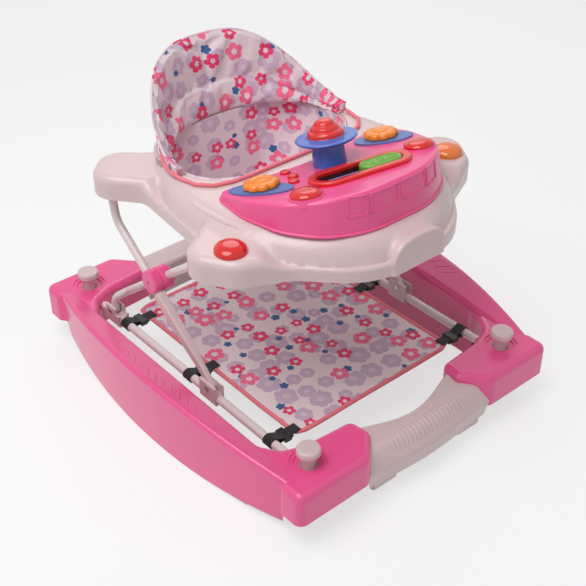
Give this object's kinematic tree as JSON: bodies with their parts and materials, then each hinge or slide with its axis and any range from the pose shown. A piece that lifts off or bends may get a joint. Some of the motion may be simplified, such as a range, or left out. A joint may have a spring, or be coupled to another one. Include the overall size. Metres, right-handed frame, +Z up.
{
  "type": "baby walker",
  "caption": "Folding baby walker with rocker rails, lowerable caster feet, scissor legs, a lobed toy tray, padded seat and foot mat.",
  "frame": {"origin": "on the floor, midway between the rails and midway between the front and rear cross members", "axes": "+Z up, +Y towards the backrest, -Y towards the toy console, +X to the side of the tray's right hand seen from the front"},
  "size_m": [0.6682, 0.766, 0.583],
  "materials": {
    "pink_plastic": "moulded hot pink plastic with a soft gloss",
    "cream_plastic": "moulded pinkish cream plastic with a soft gloss",
    "white_tube": "powder-coated pale steel tube",
    "steel": "plain steel rivets and screws",
    "caster_plastic": "matt grey plastic",
    "wheel_rubber": "dark rubber",
    "mat_fabric": "printed pale pink woven fabric",
    "strap_black": "black webbing",
    "buckle_black": "black plastic",
    "seat_fabric": "printed pale fabric over padding",
    "red_clear": "clear red plastic",
    "red_plastic": "glossy red plastic",
    "blue_plastic": "glossy blue plastic",
    "orange_plastic": "glossy orange plastic",
    "green_plastic": "textured green plastic",
    "dark_plastic": "dark inner pan"
  },
  "bodies": {
    "base": {"rail_left": "pink_plastic", "rail_right": "pink_plastic", "front_cross_member": "cream_plastic", "rear_cross_member": "cream_plastic", "cross_member_pads": "cream_plastic", "side_pads": "cream_plastic", "side_tube_left": "white_tube", "side_tube_right": "white_tube", "plunger_guides": "cream_plastic", "rear_sleeves": "cream_plastic", "sleeve_pins": "steel", "foot_mat": "mat_fabric", "mat_straps": "strap_black", "mat_buckles": "buckle_black"},
    "plunger_front_left": {"plunger_front_left": "cream_plastic"},
    "caster_front_left": {"caster_fork_front_left": "caster_plastic"},
    "wheel_front_left": {"caster_wheel_front_left": "wheel_rubber"},
    "plunger_front_right": {"plunger_front_right": "cream_plastic"},
    "caster_front_right": {"caster_fork_front_right": "caster_plastic"},
    "wheel_front_right": {"caster_wheel_front_right": "wheel_rubber"},
    "plunger_rear_left": {"plunger_rear_left": "cream_plastic"},
    "caster_rear_left": {"caster_fork_rear_left": "caster_plastic"},
    "wheel_rear_left": {"caster_wheel_rear_left": "wheel_rubber"},
    "plunger_rear_right": {"plunger_rear_right": "cream_plastic"},
    "caster_rear_right": {"caster_fork_rear_right": "caster_plastic"},
    "wheel_rear_right": {"caster_wheel_rear_right": "wheel_rubber"},
    "fixed_legs": {"fixed_leg_left": "white_tube", "fixed_leg_right": "white_tube", "hub_inner_discs": "pink_plastic", "track_pins": "steel"},
    "slide_legs": {"slide_leg_left": "white_tube", "slide_leg_right": "white_tube", "slide_arm_left": "cream_plastic", "slide_arm_right": "cream_plastic", "hub_outer_discs": "pink_plastic", "hub_screws": "steel"},
    "saddles": {"front_saddles": "cream_plastic", "saddle_rivets": "steel"},
    "tray": {"tray": "cream_plastic", "tray_hinge_brackets": "cream_plastic", "tray_hinge_pins": "steel", "tray_slide_tracks": "cream_plastic", "lamp_lenses": "red_clear", "console": "pink_plastic", "leaf_plates": "blue_plastic", "slider_bezel": "red_plastic", "slider_pan": "dark_plastic", "spinner_post": "blue_plastic", "seat_backrest": "seat_fabric", "seat_sling": "seat_fabric"},
    "spinner": {"spinner_dish": "blue_plastic", "spinner_cap": "red_plastic"},
    "flower_left": {"flower_left": "orange_plastic"},
    "dome_left": {"dome_button_left": "red_clear"},
    "flower_right": {"flower_right": "orange_plastic"},
    "dome_right": {"dome_button_right": "red_clear"},
    "key_1": {"key_1": "red_plastic"},
    "key_2": {"key_2": "red_plastic"},
    "key_3": {"key_3": "red_plastic"},
    "slider": {"slider_knob": "green_plastic"}
  },
  "joints": [
    {"name": "press_front_left", "type": "slide", "parent": "base", "child": "plunger_front_left", "axis": [0, 0, 1], "range_m": [-0.021, 0]},
    {"name": "swivel_front_left", "type": "hinge", "parent": "plunger_front_left", "child": "caster_front_left", "pos_m": [-0.23, -0.321, 0.066], "axis": [0, 0, 1], "continuous": true},
    {"name": "roll_front_left", "type": "hinge", "parent": "caster_front_left", "child": "wheel_front_left", "pos_m": [-0.23, -0.311, 0.034], "axis": [1, 0, 0], "continuous": true},
    {"name": "press_front_right", "type": "slide", "parent": "base", "child": "plunger_front_right", "axis": [0, 0, 1], "range_m": [-0.021, 0]},
    {"name": "swivel_front_right", "type": "hinge", "parent": "plunger_front_right", "child": "caster_front_right", "pos_m": [0.23, -0.321, 0.066], "axis": [0, 0, 1], "continuous": true},
    {"name": "roll_front_right", "type": "hinge", "parent": "caster_front_right", "child": "wheel_front_right", "pos_m": [0.23, -0.311, 0.034], "axis": [1, 0, 0], "continuous": true},
    {"name": "press_rear_left", "type": "slide", "parent": "base", "child": "plunger_rear_left", "axis": [0, 0, 1], "range_m": [-0.021, 0]},
    {"name": "swivel_rear_left", "type": "hinge", "parent": "plunger_rear_left", "child": "caster_rear_left", "pos_m": [-0.23, 0.321, 0.066], "axis": [0, 0, 1], "continuous": true},
    {"name": "roll_rear_left", "type": "hinge", "parent": "caster_rear_left", "child": "wheel_rear_left", "pos_m": [-0.23, 0.331, 0.034], "axis": [1, 0, 0], "continuous": true},
    {"name": "press_rear_right", "type": "slide", "parent": "base", "child": "plunger_rear_right", "axis": [0, 0, 1], "range_m": [-0.021, 0]},
    {"name": "swivel_rear_right", "type": "hinge", "parent": "plunger_rear_right", "child": "caster_rear_right", "pos_m": [0.23, 0.321, 0.066], "axis": [0, 0, 1], "continuous": true},
    {"name": "roll_rear_right", "type": "hinge", "parent": "caster_rear_right", "child": "wheel_rear_right", "pos_m": [0.23, 0.331, 0.034], "axis": [1, 0, 0], "continuous": true},
    {"name": "fold", "type": "hinge", "parent": "base", "child": "fixed_legs", "pos_m": [0, 0.229, 0.108], "axis": [1, 0, 0], "range_deg": [0, 32]},
    {"name": "leg_cross", "type": "hinge", "parent": "fixed_legs", "child": "slide_legs", "pos_m": [0, 0.08, 0.25], "axis": [1, 0, 0], "range_deg": [-64, 0]},
    {"name": "saddle_pivot", "type": "hinge", "parent": "slide_legs", "child": "saddles", "pos_m": [0, -0.069, 0.108], "axis": [1, 0, 0], "range_deg": [0, 32]},
    {"name": "tray_pivot", "type": "hinge", "parent": "slide_legs", "child": "tray", "pos_m": [0, 0.189, 0.392], "axis": [1, 0, 0], "range_deg": [0, 32]},
    {"name": "spin", "type": "hinge", "parent": "tray", "child": "spinner", "pos_m": [0, -0.0999, 0.51008], "axis": [0, 0.2419, 0.9703], "continuous": true},
    {"name": "flower_turn_left", "type": "hinge", "parent": "tray", "child": "flower_left", "pos_m": [-0.13, -0.09241, 0.47399], "axis": [0, 0.2419, 0.9703], "continuous": true},
    {"name": "dome_press_left", "type": "slide", "parent": "tray", "child": "dome_left", "axis": [0, 0.2419, 0.9703], "range_m": [-0.003, 0], "stiffness_N_per_m": 600, "springref_m": 0.001},
    {"name": "flower_turn_right", "type": "hinge", "parent": "tray", "child": "flower_right", "pos_m": [0.13, -0.09241, 0.47399], "axis": [0, 0.2419, 0.9703], "continuous": true},
    {"name": "dome_press_right", "type": "slide", "parent": "tray", "child": "dome_right", "axis": [0, 0.2419, 0.9703], "range_m": [-0.003, 0], "stiffness_N_per_m": 600, "springref_m": 0.001},
    {"name": "key_press_1", "type": "slide", "parent": "tray", "child": "key_1", "axis": [0, 0.2419, 0.9703], "range_m": [-0.002, 0], "stiffness_N_per_m": 400, "springref_m": 0.001},
    {"name": "key_press_2", "type": "slide", "parent": "tray", "child": "key_2", "axis": [0, 0.2419, 0.9703], "range_m": [-0.002, 0], "stiffness_N_per_m": 400, "springref_m": 0.001},
    {"name": "key_press_3", "type": "slide", "parent": "tray", "child": "key_3", "axis": [0, 0.2419, 0.9703], "range_m": [-0.002, 0], "stiffness_N_per_m": 400, "springref_m": 0.001},
    {"name": "slider_run", "type": "slide", "parent": "tray", "child": "slider", "axis": [0.9703, -0.2347, 0.0585], "range_m": [-0.072, 0]}
  ],
  "couplings": [
    {"joint": "leg_cross", "follows": "fold", "ratio": -2},
    {"joint": "saddle_pivot", "follows": "fold", "ratio": 1},
    {"joint": "tray_pivot", "follows": "fold", "ratio": 1}
  ]
}
